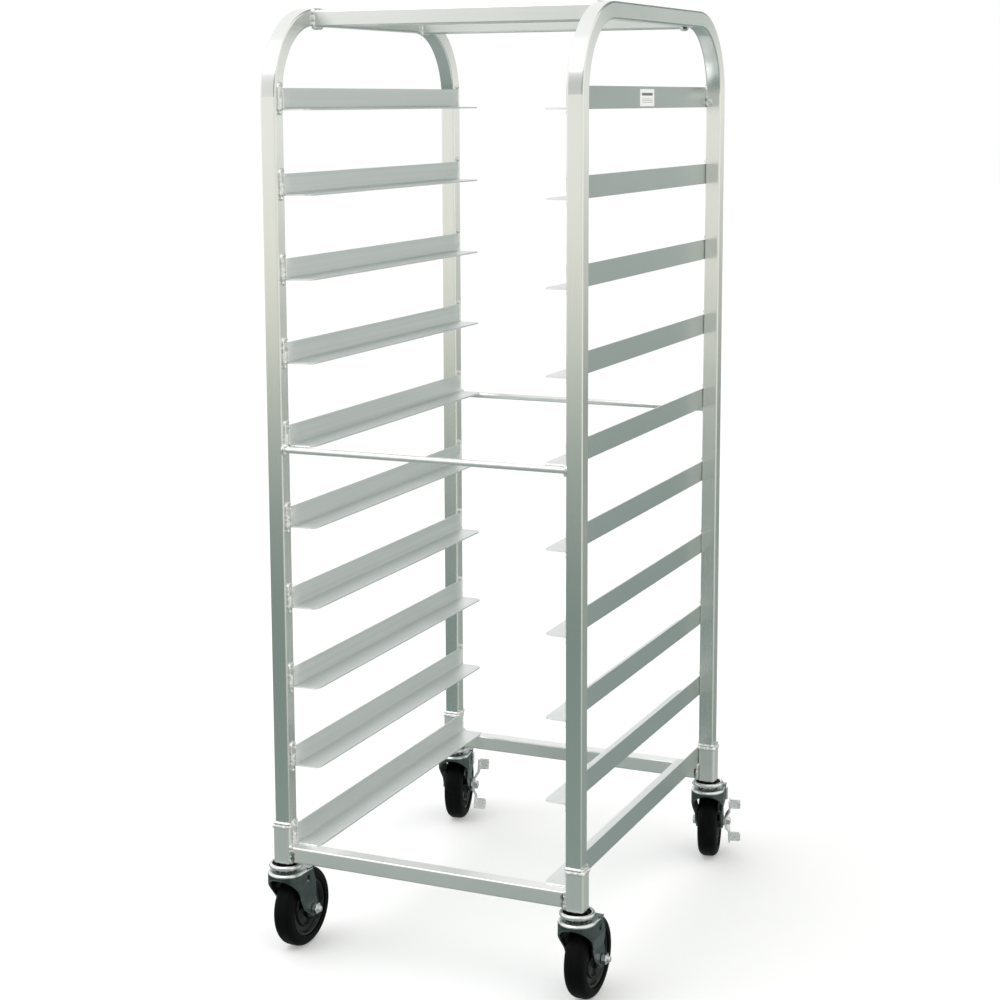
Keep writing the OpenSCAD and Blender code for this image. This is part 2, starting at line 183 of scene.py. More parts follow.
def bead(shape, path, up, width, height, closed=False, wander=0.18, seed=0.0):
    """A weld bead along a path: a low rounded ridge with overlapping crescents, sunk a little into the metal.
    up is the direction that the bead bulges to, one vector or one for each point of the path."""
    around = 12
    ups = up if isinstance(up, list) else [up] * len(path)
    fine, total = resample(path, RIPPLE / 3, closed)
    coarse = [Vector(p) for p in path]
    verts = []
    count = len(fine)
    for i, p in enumerate(fine):
        before = fine[i - 1] if i or closed else p
        after = fine[(i + 1) % count] if i + 1 < count or closed else p
        along = (after - before).normalized()
        near = min(range(len(coarse)), key=lambda k: (coarse[k] - p).length_squared)
        normal = Vector(ups[near]).normalized()
        normal = (normal - along * normal.dot(along)).normalized()
        across = along.cross(normal)
        s = total * i / count
        end = 1.0 if closed else min(1.0, 0.25 + 1.6 * min(i, count - 1 - i) * RIPPLE / 3 / width)
        lump = 1 + wander * noise.noise(p * 260 + Vector((seed, 0, 0)))
        for k in range(around):
            a = 2 * math.pi * k / around
            side, rise = math.cos(a), math.sin(a)
            phase = (s + 0.35 * width * side * side) / RIPPLE
            crescent = 1 + 0.16 * (phase % 1.0 - 0.5)
            r = end * lump * crescent
            rise *= 1.0 if rise > 0 else 0.6
            verts.append(p + across * side * width / 2 * lump * end + normal * rise * height * r)
    shape.add(verts, rings_to_faces(count, around, close=closed))


def blob(shape, centre, size, seed=0.0, squash=Vector((1, 1, 1)), rows=8, around=12):
    """A small lumpy ball of metal."""
    verts = []
    for i in range(1, rows):
        polar = math.pi * i / rows
        for k in range(around):
            a = 2 * math.pi * k / around
            d = Vector((math.sin(polar) * math.cos(a), math.sin(polar) * math.sin(a), math.cos(polar)))
            r = size / 2 * (1 + 0.22 * noise.noise(d * 1.7 + Vector((seed, seed * 2, 0))))
            verts.append(Vector(centre) + Vector((d.x * squash.x, d.y * squash.y, d.z * squash.z)) * r)
    shape.add(verts, rings_to_faces(rows - 1, around))


# ---------------------------------------------------------------- finishes

class Finish:
    """A material and short ways to make its nodes."""

    def __init__(self, name):
        self.mat = bpy.data.materials.new(name)
        self.mat.use_nodes = True
        self.tree = self.mat.node_tree
        self.shader = self.tree.nodes["Principled BSDF"]

    def node(self, kind, **settings):
        made = self.tree.nodes.new(kind)
        for key, value in settings.items():
            setattr(made, key, value)
        return made

    def link(self, source, target):
        self.tree.links.new(source, target)

    def put(self, socket, value):
        self.shader.inputs[socket].default_value = value

    def noise(self, vector, scale, detail=4.0, rough=0.55):
        made = self.node("ShaderNodeTexNoise")
        made.inputs["Scale"].default_value = scale
        made.inputs["Detail"].default_value = detail
        made.inputs["Roughness"].default_value = rough
        self.link(vector, made.inputs["Vector"])
        return made.outputs["Fac"]

    def scaled(self, vector, scale):
        made = self.node("ShaderNodeMapping")
        made.inputs["Scale"].default_value = scale
        self.link(vector, made.inputs["Vector"])
        return made.outputs["Vector"]

    def span(self, value, low, high, to_low, to_high):
        """value from low..high moved to to_low..to_high, clamped."""
        made = self.node("ShaderNodeMapRange")
        for key, number in zip(("From Min", "From Max", "To Min", "To Max"), (low, high, to_low, to_high)):
            made.inputs[key].default_value = number
        self.link(value, made.inputs["Value"])
        return made.outputs["Result"]

    def math(self, operation, a, b=None):
        made = self.node("ShaderNodeMath", operation=operation)
        for socket, value in zip(made.inputs, (a, b)):
            if value is None:
                continue
            if isinstance(value, (int, float)):
                socket.default_value = value
            else:
                self.link(value, socket)
        return made.outputs["Value"]

    def mix(self, factor, first, second):
        """A blend of two colours, each a tuple or a socket."""
        made = self.node("ShaderNodeMix", data_type="RGBA")
        self.link(factor, made.inputs[0])
        for socket, value in ((made.inputs[6], first), (made.inputs[7], second)):
            if isinstance(value, tuple):
                socket.default_value = (*value, 1)
            else:
                self.link(value, socket)
        return made.outputs[2]

    def bump(self, height, distance, under=None):
        made = self.node("ShaderNodeBump")
        made.inputs["Distance"].default_value = distance
        self.link(height, made.inputs["Height"])
        if under:
            self.link(under, made.inputs["Normal"])
        return made.outputs["Normal"]

    def soft_edge(self, radius):
        """Normals that round off hard edges."""
        made = self.node("ShaderNodeBevel", samples=4)
        made.inputs["Radius"].default_value = radius
        return made.outputs["Normal"]

    def place(self):
        return self.node("ShaderNodeTexCoord").outputs["Object"]

    def lines(self):
        """The lengthwise coordinates of a drawn or extruded part: x across, y along."""
        return self.node("ShaderNodeUVMap", uv_map="lines").outputs["UV"]


BLOTCH = 0.015              # how much the roughness of aluminium varies from place to place


def extruded(name, light, dark, rough, stretch=0.86, saw_cut_and_glint=False):
    """Mill-finish aluminium: lengthwise die lines, cloudy patches, stretched highlights."""
    f = Finish(name)
    lines, place = f.lines(), f.place()
    f.put("Metallic", 1.0)
    f.put("Anisotropic", stretch)
    tangent = f.node("ShaderNodeTangent", direction_type="UV_MAP", uv_map="lines")
    f.link(tangent.outputs["Tangent"], f.shader.inputs["Tangent"])
    fine = f.noise(f.scaled(lines, (1500, 6, 1)), 1.0, 3.0)
    broad = f.noise(f.scaled(lines, (160, 0.8, 1)), 1.0, 1.0)
    cloud = f.noise(place, 9.0, 3.0, 0.5)
    grey = f.mix(f.span(broad, 0.2, 0.8, 0.3, 1.0), dark, light)
    streaks = f.span(fine, 0.3, 0.7, rough - 0.015, rough + 0.02)
    roughness = f.math("ADD", streaks, f.span(cloud, 0.3, 0.7, -BLOTCH, BLOTCH))
    normal = f.bump(fine, 0.0000006, under=f.soft_edge(0.5 * MM))
    normal = f.bump(broad, 0.000003, under=normal)
    if saw_cut_and_glint:
        # the ends show fine saw lines on rougher metal; their paler, less metallic colour is a painted
        # highlight, the glint of the cut edges
        facing = f.node("ShaderNodeSeparateXYZ")
        f.link(f.node("ShaderNodeNewGeometry").outputs["True Normal"], facing.inputs[0])
        end = f.span(f.math("ABSOLUTE", facing.outputs["Y"]), 0.8, 0.95, 0.0, 1.0)
        saw = f.noise(f.scaled(place, (2400, 60, 260)), 1.0, 3.0)
        grey = f.mix(end, grey, (0.93, 0.93, 0.92))
        roughness = f.math("ADD", roughness, f.math("MULTIPLY", end, 0.22))
        normal = f.bump(f.math("MULTIPLY", saw, end), 0.0002, under=normal)
        # the heat of the welds has left a pale, cloudy patch at each end
        reach = f.node("ShaderNodeSeparateXYZ")
        f.link(f.scaled(place, (1, 1, 1)), reach.inputs[0])
        middle = f.math("ABSOLUTE", f.math("SUBTRACT", reach.outputs["Y"], SLIDE_MID))
        patch = f.span(middle, SLIDE_HALF - 26 * MM, SLIDE_HALF - 8 * MM, 0.0, 1.0)
        patch = f.math("MULTIPLY", patch, f.span(f.noise(place, 60.0, 3.0), 0.35, 0.6, 0.0, 1.0))
        grey = f.mix(patch, grey, (0.96, 0.97, 0.96))
        roughness = f.math("ADD", roughness, f.math("MULTIPLY", patch, 0.10))
        # the inner faces, scuffed by pans, are paler than the outer ones
        outward = f.math("MULTIPLY", f.math("SIGN", reach.outputs["X"]), facing.outputs["X"])
        scuffed = f.span(outward, 0.3, 0.7, 0.24, 0.0)
        grey = f.mix(f.span(outward, 0.3, 0.7, 0.0, 1.0), grey, dark)
        # pale carries the painted highlight of the cut ends and the pale heat patch; both lower the metallic
        pale = f.math("MAXIMUM", f.math("MULTIPLY", end, 0.7), f.math("MULTIPLY", patch, 0.45))
        f.link(f.math("SUBTRACT", 1.0, f.math("MAXIMUM", scuffed, pale)), f.shader.inputs["Metallic"])
    f.link(grey, f.shader.inputs["Base Color"])
    f.link(roughness, f.shader.inputs["Roughness"])
    f.link(normal, f.shader.inputs["Normal"])
    return f.mat


def weld_metal(name, trough, crest, soot_from):
    """Weld bead: bright crests, greyer troughs, dirt in patches; a lower soot_from gives more dirt."""
    f = Finish(name)
    place = f.place()
    f.put("Metallic", 1.0)
    pits = f.noise(place, 420.0, 3.0)
    soot = f.noise(place, 95.0, 4.0, 0.6)
    geometry = f.node("ShaderNodeNewGeometry")
    height = f.span(geometry.outputs["Pointiness"], 0.47, 0.53, 0.0, 1.0)
    metal = f.mix(height, trough, crest)
    dirt = tuple(0.35 * c for c in trough)
    colour = f.mix(f.span(soot, soot_from, soot_from + 0.14, 0.0, 0.85), metal, dirt)
    f.link(colour, f.shader.inputs["Base Color"])
    f.link(f.span(pits, 0.3, 0.7, 0.20, 0.42), f.shader.inputs["Roughness"])
    f.link(f.bump(pits, 0.0003), f.shader.inputs["Normal"])
    return f.mat


def plated(name, light, dark, rough, grain=60.0, metal=1.0, painted_top_highlight=None):
    """Zinc-plated steel: faint crystal mottling and soft scuffs; the colour given for the top is a painted
    highlight on faces that look up.
    """
    f = Finish(name)
    place = f.place()
    f.put("Metallic", metal)
    mottle = f.noise(place, grain, 6.0, 0.6)
    scuff = f.noise(f.scaled(place, (90, 90, 700)), 1.0, 2.0)
    colour = f.mix(f.span(mottle, 0.35, 0.65, 0.0, 1.0), dark, light)
    # painted highlight: upward-sloping faces, the rounded shoulders, take the pale colour, and flat tops take
    # less of it
    if painted_top_highlight:
        facing = f.node("ShaderNodeSeparateXYZ")
        f.link(f.node("ShaderNodeNewGeometry").outputs["Normal"], facing.inputs[0])
        upward = facing.outputs["Z"]
        rounded, flat_top = f.span(upward, 0.15, 0.45, 0.0, 1.0), f.span(upward, 0.8, 0.97, 1.0, 0.3)
        shoulder = f.math("MULTIPLY", rounded, flat_top)
        colour = f.mix(shoulder, colour, painted_top_highlight)
    f.link(colour, f.shader.inputs["Base Color"])
    base = f.span(mottle, 0.3, 0.7, rough - 0.05, rough + 0.06)
    f.link(f.math("ADD", base, f.span(scuff, 0.3, 0.7, -0.03, 0.05)), f.shader.inputs["Roughness"])
    dimples = f.bump(f.noise(place, 300.0, 2.0), 0.000012, under=f.soft_edge(0.9 * MM))
    f.link(dimples, f.shader.inputs["Normal"])
    return f.mat


def rubber():
    """Black tyre: matt, with dusty brown patches and fine moulding grain."""
    f = Finish("tyre_rubber")
    place = f.place()
    grain = f.noise(place, 900.0, 3.0)
    dust = f.noise(place, 34.0, 5.0, 0.62)
    colour = f.mix(f.span(dust, 0.50, 0.78, 0.0, 1.0), (0.0016, 0.0020, 0.0021), (0.0060, 0.0055, 0.0048))
    f.link(colour, f.shader.inputs["Base Color"])
    f.link(f.span(dust, 0.3, 0.7, 0.42, 0.62), f.shader.inputs["Roughness"])
    f.put("Specular IOR Level", 0.09)
    f.link(f.bump(grain, 0.00012), f.shader.inputs["Normal"])
    return f.mat


def core_plastic():
    """Black moulded wheel core, glossier than the tyre."""
    f = Finish("wheel_core")
    place = f.place()
    flow = f.noise(place, 45.0, 4.0)
    colour = f.mix(f.span(flow, 0.3, 0.7, 0.0, 1.0), (0.0015, 0.0017, 0.0018), (0.003, 0.003, 0.003))
    f.link(colour, f.shader.inputs["Base Color"])
    f.link(f.span(flow, 0.3, 0.7, 0.14, 0.22), f.shader.inputs["Roughness"])
    f.put("Specular IOR Level", 0.35)
    f.link(f.bump(f.noise(place, 700.0, 2.0), 0.00005), f.shader.inputs["Normal"])
    return f.mat


def label_film():
    """White film label with a plain dark block and grey rules, no lettering."""
    f = Finish("label_film")
    lines, place = f.lines(), f.place()
    split = f.node("ShaderNodeSeparateXYZ")
    f.link(lines, split.inputs[0])
    across, up = split.outputs["X"], split.outputs["Y"]

    def band(value, low, high):
        return f.math("MULTIPLY", f.math("GREATER_THAN", value, low), f.math("LESS_THAN", value, high))

    block = f.math("MULTIPLY", band(across, 0.12, 0.88), band(up, 0.62, 0.78))
    stripes = f.math("GREATER_THAN", f.math("SINE", f.math("MULTIPLY", up, 62.8)), 0.45)
    rules = f.math("MULTIPLY", band(across, 0.12, 0.88), stripes)
    rules = f.math("MULTIPLY", rules, band(up, 0.15, 0.5))
    film = f.mix(f.noise(place, 80.0, 3.0), (0.93, 0.93, 0.92), (0.97, 0.97, 0.96))
    printed = f.mix(rules, film, (0.42, 0.43, 0.44))
    f.link(f.mix(block, printed, (0.10, 0.11, 0.12)), f.shader.inputs["Base Color"])
    f.put("Roughness", 0.35)
    f.put("Coat Weight", 0.3)
    f.link(f.bump(f.noise(place, 500.0, 2.0), 0.00002), f.shader.inputs["Normal"])
    return f.mat


TUBE = extruded("tube_aluminium", (0.91, 0.92, 0.90), (0.895, 0.905, 0.885), 0.30)
BENT = extruded("bent_tube_aluminium", (0.91, 0.92, 0.90), (0.88, 0.895, 0.875), 0.25)
SLIDE = extruded("slide_aluminium", (0.92, 0.945, 0.935), (0.76, 0.80, 0.785), 0.34, saw_cut_and_glint=True)
SOCKET = extruded("socket_aluminium", (0.93, 0.94, 0.92), (0.88, 0.90, 0.88), 0.46, stretch=0.3)
WELD = weld_metal("weld_metal", (0.70, 0.70, 0.67), (0.97, 0.97, 0.96), 0.68)
BURNT = weld_metal("burnt_weld", (0.06, 0.055, 0.045), (0.62, 0.60, 0.54), 0.42)
# near-black painted shade for the dished recess inside the rims of the race caps
CAP_RECESS_SHADE = plated("recess_painted_shade", (0.030, 0.030, 0.028), (0.012, 0.012, 0.012), 0.45)
ZINC = plated("bright_zinc", (0.88, 0.89, 0.885), (0.80, 0.81, 0.805), 0.20, grain=25.0)
# the fork's pale top colour is a painted highlight on the shoulders of its crown
FORK = plated("fork_zinc", (0.125, 0.15, 0.15), (0.09, 0.11, 0.11), 0.25, painted_top_highlight=(0.86, 0.88, 0.87))
BRIGHT = plated("lever_zinc", (0.98, 0.98, 0.98), (0.92, 0.93, 0.92), 0.28, metal=0.6)
BALLS = plated("ball_steel", (0.70, 0.71, 0.73), (0.62, 0.63, 0.65), 0.10)
RUBBER = rubber()
CORE = core_plastic()
FILM = label_film()


def draw_lines(obj, lengthwise):
    """Stores the across and along coordinates in a UV layer; lengthwise gives (two cross distances, length)
    and the two unit vectors across at a point."""
    mesh = obj.data
    layer = mesh.uv_layers.get("lines") or mesh.uv_layers.new(name="lines")
    for poly in mesh.polygons:
        for loop in poly.loop_indices:
            p = mesh.vertices[mesh.loops[loop].vertex_index].co
            first, second, along, axis_first, axis_second = lengthwise(p, poly.center)
            flat = abs(poly.normal.dot(axis_first)) > abs(poly.normal.dot(axis_second))
            layer.data[loop].uv = (second if flat else first, along)


X, Y, Z = Vector((1, 0, 0)), Vector((0, 1, 0)), Vector((0, 0, 1))


def along_x(p, centre):
    return p.y, p.z, p.x, Y, Z


def along_y(p, centre):
    return p.x, p.z, p.y, X, Z


def along_z(p, centre):
    return p.x, p.y, p.z, X, Y


def along_side_frame(p, centre):
    """Up the post, round the bend and along the rail."""
    straight, turn_z = HALF_D - BEND_OUT, RACK_H - BEND_OUT
    side = math.copysign(1, centre.y - MID_Y)
    out, high = (p.y - MID_Y) * side - straight, p.z - turn_z
    if centre.z < turn_z:
        return p.x, out, p.z, X, Y
    if abs(centre.y - MID_Y) < straight:
        return p.x, high, turn_z + BEND_OUT * math.pi / 2 - out, X, Z
    turn = math.atan2(high, out)
    radial = Vector((0, side * math.cos(turn), math.sin(turn)))
    return p.x, math.hypot(out, high), turn_z + BEND_OUT * turn, X, radial


def finish_node(name, material, lengthwise=along_z):
    obj = NODES[name]
    obj.data.materials.clear()
    obj.data.materials.append(material)
    draw_lines(obj, lengthwise)


for side in ("left", "right"):
    finish_node(f"{side}_side_frame", BENT, along_side_frame)
    for number in range(1, SLIDE_COUNT + 1):
        finish_node(f"{side}_slide_{number:02d}", SLIDE, along_y)
for name in CROSS_TUBES + TIE_RODS:
    finish_node(name, TUBE, along_x)
for corner in CORNERS:
    finish_node(f"socket_{corner}", SOCKET)
    finish_node(f"fork_{corner}", FORK)
    finish_node(f"axle_{corner}", ZINC)
    finish_node(f"tyre_{corner}", RUBBER)
    finish_node(f"hub_{corner}", CORE)
for corner in BRAKED:
    finish_node(f"brake_lever_{corner}", BRIGHT)
    finish_node(f"brake_post_{corner}", ZINC)
finish_node("caster_stems", ZINC)
finish_node("upper_races", ZINC)
finish_node("swivel_balls", BALLS)
finish_node("id_label", FILM)
label_lo, label_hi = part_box("id_label")
label = NODES["id_label"].data
for loop in label.loops:
    spot = label.vertices[loop.vertex_index].co - label_lo
    size = label_hi - label_lo
    label.uv_layers["lines"].data[loop.index].uv = (spot.y / size.y, spot.z / size.z)
finish_node("slide_welds", WELD)
finish_node("frame_welds", WELD)


# ---------------------------------------------------------------- welds

FLIP = Matrix.Scale(-1, 4, X)


def both_sides(shape, build):
    """What build makes on the left side, and its mirror image on the right."""
    part = Shape()
    build(part)
    shape.add(part.verts, part.faces)
    shape.add(part.verts, part.faces, FLIP)


def slide_ends(shape, number):
    """Beads round both ends of a left slide, on the inner faces of the posts."""
    lo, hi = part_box(f"left_slide_{number:02d}")
    x, y, z = FACE_X, lo.y, lo.z
    under = 0 if number in (5, SLIDE_COUNT) else 4 * MM
    top = z + WEB_H
    path = [(x, y - 8 * MM, z - under), (x, y - 12 * MM, z + 2 * MM), (x, y - 12.5 * MM, top - 3 * MM)]
    path += [(x, a, b) for a, b in arc(y - 6 * MM, top, 6.5 * MM, 180, 10, 8)]
    bead(shape, path, X, 5 * MM, 2.8 * MM, seed=number)
    path = [(x, y - 5 * MM, z - under / 2), (x, y - 4.5 * MM, z + 20 * MM)]
    bead(shape, path, X, 8 * MM, 2.1 * MM, seed=number + 20)
    path = [(x, y - 0.6 * MM, z + MM), (x, y - 0.6 * MM, top - MM)]
    bead(shape, path, X, 3.6 * MM, 3.4 * MM, seed=number + 40)
    rear = hi.y + 1.6 * MM
    bead(shape, [(x, rear, z + MM), (x, rear, top + 3 * MM)], X, 4.4 * MM, 3.2 * MM, seed=number + 60)
    blob(shape, (x + 1.5 * MM, rear - 3 * MM, top + 4.5 * MM), 6.5 * MM, seed=number)
    if under:
        blob(shape, (x + 1.5 * MM, y - 9 * MM, z - under), 6 * MM, seed=number + 5)
    else:
        for edge, out in ((y, -1), (hi.y, 1)):
            seam, low = edge + out * 0.8 * MM, z + 0.6 * MM
            along = [(x + 3 * MM, seam, low), (x + 40 * MM, seam, low)]
            bead(shape, along, Vector((0, out * 0.7, 0.7)), 4.6 * MM, 2.2 * MM, seed=out)


def square_loop(centre, half, first, second, tilt):
    """Points round a tube of that half width and the way the bead bulges at each of them."""
    corner = 3 * MM
    path, ups = [], []
    for i in range(4):
        for step in range(4):
            turn = math.pi / 2 * i + math.pi / 6 * step
            c, d = math.cos(turn), math.sin(turn)
            ca = math.copysign(1, math.cos(math.pi / 2 * i + math.pi / 4)) * (half - corner)
            cb = math.copysign(1, math.sin(math.pi / 2 * i + math.pi / 4)) * (half - corner)
            path.append(centre + first * (ca + corner * c) + second * (cb + corner * d))
            ups.append(first * c + second * d + tilt)
    return path, ups


def round_loop(centre, r, first, second, tilt):
    turns = [math.pi * i / 10 for i in range(20)]
    return ([centre + (first * math.cos(t) + second * math.sin(t)) * r for t in turns],
            [first * math.cos(t) * 0.6 + second * math.sin(t) * 0.6 + tilt for t in turns])


def frame_ends(shape):
    """Beads where the cross tubes, tie rods and sockets meet the left side frame."""
    half = TUBE_W / 2
    for name in CROSS_TUBES:
        lo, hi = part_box(name)
        centre = Vector((lo.x + 0.8 * MM, (lo.y + hi.y) / 2, (lo.z + hi.z) / 2))
        path, ups = square_loop(centre, half + 0.6 * MM, Y, Z, X * 0.8)
        bead(shape, path, ups, 6 * MM, 2.8 * MM, closed=True, wander=0.3, seed=lo.y)
    for name in TIE_RODS:
        lo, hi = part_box(name)
        centre = Vector((lo.x + 0.6 * MM, (lo.y + hi.y) / 2, (lo.z + hi.z) / 2))
        path, ups = round_loop(centre, ROD_R + 1.6 * MM, Y, Z, X * 0.8)
        bead(shape, path, ups, 5 * MM, 3 * MM, closed=True, wander=0.4, seed=lo.y)
        blob(shape, centre + Vector((2, 0, 5.5)) * MM, 8.5 * MM, seed=2, squash=Vector((1.2, 1, 0.8)))
        blob(shape, centre + Vector((1.5, -1.5, -5.5)) * MM, 7 * MM, seed=6, squash=Vector((0.9, 1, 1.1)))
    for corner in ("fl", "rl"):
        lo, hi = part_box(f"socket_{corner}")
        post_y = POST_FRONT + half if corner == "fl" else POST_REAR - half
        centre = Vector((FACE_X - half - 0.9 * MM, post_y, hi.z))
        path, ups = square_loop(centre + Z * 0.4 * MM, half + 0.3 * MM, X, Y, Z * 0.9)
        bead(shape, path, ups, 5.5 * MM, 2.6 * MM, closed=True, wander=0.35, seed=post_y)
        centre = Vector(((lo.x + hi.x) / 2, (lo.y + hi.y) / 2, hi.z - 3.5 * MM))
        path, ups = square_loop(centre, (hi.x - lo.x) / 2 - 0.6 * MM, X, Y, Z * 0.5)
        bead(shape, path, ups, 8 * MM, 1.5 * MM, closed=True, wander=0.5, seed=post_y + 3)


def burnt_ends(shape):
    """Upright beads, dark with burnt dirt, where the bottom tubes meet the left sockets."""
    for name in ("bottom_front_tube", "bottom_rear_tube"):
        lo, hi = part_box(name)
        for y, out in ((lo.y, -1), (hi.y, 1)):
            path = [(lo.x + 3 * MM, y, lo.z), (lo.x + 3 * MM, y, hi.z - 2 * MM)]
            bead(shape, path, Vector((0.2, out, 0)), 9 * MM, 2.8 * MM, wander=0.35, seed=y * 9 + out)


slide_shape = Shape()
for number in range(1, SLIDE_COUNT + 1):
    both_sides(slide_shape, lambda part: slide_ends(part, number))
# the top right slide has a round plug of weld on the front of the rear post
spot_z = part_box("right_slide_01")[0].z
spot_y = POST_REAR - TUBE_W
ring, ring_ups = round_loop(Vector((-FACE_X + 5.5 * MM, spot_y, spot_z + 7 * MM)), 4.2 * MM, X, Z, Y * -0.8)
bead(slide_shape, ring, ring_ups, 4 * MM, 2.6 * MM, closed=True, wander=0.3, seed=3)
seam = [(-FACE_X + MM, spot_y, spot_z + 12 * MM), (-FACE_X + 0.5 * MM, spot_y, spot_z + WEB_H)]
bead(slide_shape, seam, -Y, 4 * MM, 2 * MM, wander=0.5, seed=8)
slide_welds = add_piece("slide_weld_beads", slide_shape.verts, slide_shape.faces, WELD, "frame")
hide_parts("slide_welds")

frame_shape = Shape()
both_sides(frame_shape, frame_ends)
frame_welds = add_piece("frame_weld_beads", frame_shape.verts, frame_shape.faces, WELD, "frame")
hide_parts("frame_welds")
burnt_shape = Shape()
both_sides(burnt_shape, burnt_ends)
add_piece("burnt_weld_beads", burnt_shape.verts, burnt_shape.faces, BURNT, "frame")


# ---------------------------------------------------------------- casters

def standing(joint):
    """A caster's own axes at one of its joints: X along the axle, Y to the wheel, Z up."""
    axle = Vector(JOINTS[f"roll_{joint[-2:]}"]["axis"])
    turned = Matrix((axle, Z.cross(axle), Z)).transposed().to_4x4()
    return Matrix.Translation(JOINTS[joint]["pos_m"]) @ turned


LIE_DOWN = Matrix.Rotation(math.pi / 2, 4, "Y")     # turns the lathe's axis onto the axle

# upper race cap, heights counted from the floor
CAP = [(6.2, 143.5), (22.8, 143.5)] + arc(23.2, 147.5, 3.8, -90, 90, 12)
CAP += [(21.6, 150.2), (20.4, 146.9), (19.2, 145.8), (15.4, 145.8)]
CAP += [(15.0, 146.4), (15.0, 153.3), (11.2, 153.3), (6.2, 150)]

# half outline of the tyre, radius and distance from the middle plane, from the bead to the crown
TYRE = [(46.1, 13.6), (46.3, 16.0), (47.2, 16.8), (49.3, 17.0), (49.6, 16.3), (50.4, 16.3), (50.7, 17.0)]
TYRE += arc(51.5, 5, 12, 90, 4, 14)
TYRE += [(63.5, 3.0), (63.5, 0.5)]

# half outline of the wheel core, from the boss to the rim
HUB = [(6.6, 19.9), (14.6, 19.9), (15.8, 19.2), (16.3, 12.5), (18.0, 10.6)]
HUB += [(27.0, 9.4), (28.3, 12.0), (29.2, 13.2), (30.6, 13.2), (31.5, 12.0), (32.6, 9.6)]
HUB += [(40.0, 9.2), (42.0, 12.6), (43.2, 13.8), (45.9, 13.8)]


def in_metres(profile):
    return [(r * MM, z * MM) for r, z in profile]


def mirrored(profile):
    """A closed outline from one half of it."""
    return in_metres(profile + [(r, -z) for r, z in reversed(profile)])


def hexagon(shape, x0, x1, size, matrix):
    """A hexagonal head or nut with chamfered ends, lying along X; size is across the corners."""
    chamfer = 0.9 * MM
    verts = []
    for x, r in ((x0, size * 0.44), (x0 + chamfer, size / 2), (x1 - chamfer, size / 2), (x1, size * 0.44)):
        verts += [Vector((x, r * math.cos(math.pi * k / 3), r * math.sin(math.pi * k / 3))) for k in range(6)]
    shape.add(verts, rings_to_faces(4, 6), matrix)


def bolt(shape, corner):
    """Axle bolt: head, plain bush between the fork legs, threaded end and nut."""
    place = standing(f"roll_{corner}")
    leg, pitch, r = FORK_W / 2, 1.5 * MM, BOLT_R
    nut = 3 * MM if corner[0] == "r" else 8.5 * MM
    hexagon(shape, -leg - 6.5 * MM, -leg - 0.1 * MM, NUT_W, place)
    hexagon(shape, leg + 0.1 * MM, leg + nut, NUT_W, place)
    outline = [(0.0005 * MM, -leg), (r, -leg), (r, leg + nut)]
    x = leg + nut
    while x < leg + 12 * MM:
        outline += [(r, x + 0.3 * MM), (r - 0.75 * MM, x + 0.9 * MM)]
        x += pitch
    outline += [(r - MM, x + 0.2 * MM), (r - 1.6 * MM, leg + BOLT_END), (0.0005 * MM, leg + BOLT_END)]
    verts, faces = lathe(outline, 32)
    shape.add(verts, faces, place @ LIE_DOWN)
    inner, end = r - MM, leg - 3 * MM
    verts, faces = lathe([(inner, -end), (BUSH_R, -end), (BUSH_R, end), (inner, end)], 32)
    shape.add(verts, faces, place @ LIE_DOWN)


cap_shape = Shape()
for corner in CORNERS:
    x, y, z = JOINTS[f"swivel_{corner}"]["pos_m"]
    verts, faces = lathe(in_metres(CAP), 72)
    cap_shape.add(verts, faces, Matrix.Translation((x, y, 0)))
    roll = standing(f"roll_{corner}")
    tyre_verts, tyre_faces = lathe(mirrored(TYRE), 128)
    tyre = add_piece(f"tyre_{corner}_moulded", [roll @ LIE_DOWN @ v for v in tyre_verts], tyre_faces,
                     RUBBER, f"wheel_{corner}")
    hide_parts(f"tyre_{corner}")
    hub_verts, hub_faces = lathe(mirrored(HUB), 96)
    hub = add_piece(f"hub_{corner}_moulded", [roll @ LIE_DOWN @ v for v in hub_verts], hub_faces,
                    CORE, f"wheel_{corner}")
    sharpen(hub, 50)
    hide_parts(f"hub_{corner}")
    bolt_shape = Shape()
    bolt(bolt_shape, corner)
    axle = add_piece(f"axle_{corner}_bolt", bolt_shape.verts, bolt_shape.faces,
                     ZINC, f"swivel_{corner}")
    sharpen(axle, 25)
    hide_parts(f"axle_{corner}")


# section of the rim round a brake tab: distance in from its outer edge, height over the tab
RIM = [(0.0, -0.4), (0.0, 0.3), (0.4, 0.7), (1.2, 0.7), (1.6, 0.3), (1.6, -0.4)]


def tab_rim(shape, centre, up, out, place):
    """A raised rim round the front face of a brake tab, leaning with it."""
    rings = []
    for inset, rise in in_metres(RIM):
        for i in range(4):
            side = math.copysign(TAB_REACH / 2 - 2 * TAB_EDGE, math.cos(math.pi / 2 * i + math.pi / 4))
            high = math.copysign(TAB_H / 2 - 2 * TAB_EDGE, math.sin(math.pi / 2 * i + math.pi / 4))
            for step in range(7):
                turn = math.pi / 2 * (i + step / 6)
                r = TAB_EDGE * 1.3 - inset
                across, over = side + r * math.cos(turn), high + r * math.sin(turn)
                rings.append(centre + X * across + up * over + out * rise)
    shape.add(rings, rings_to_faces(len(RIM), 28, close=True), place)


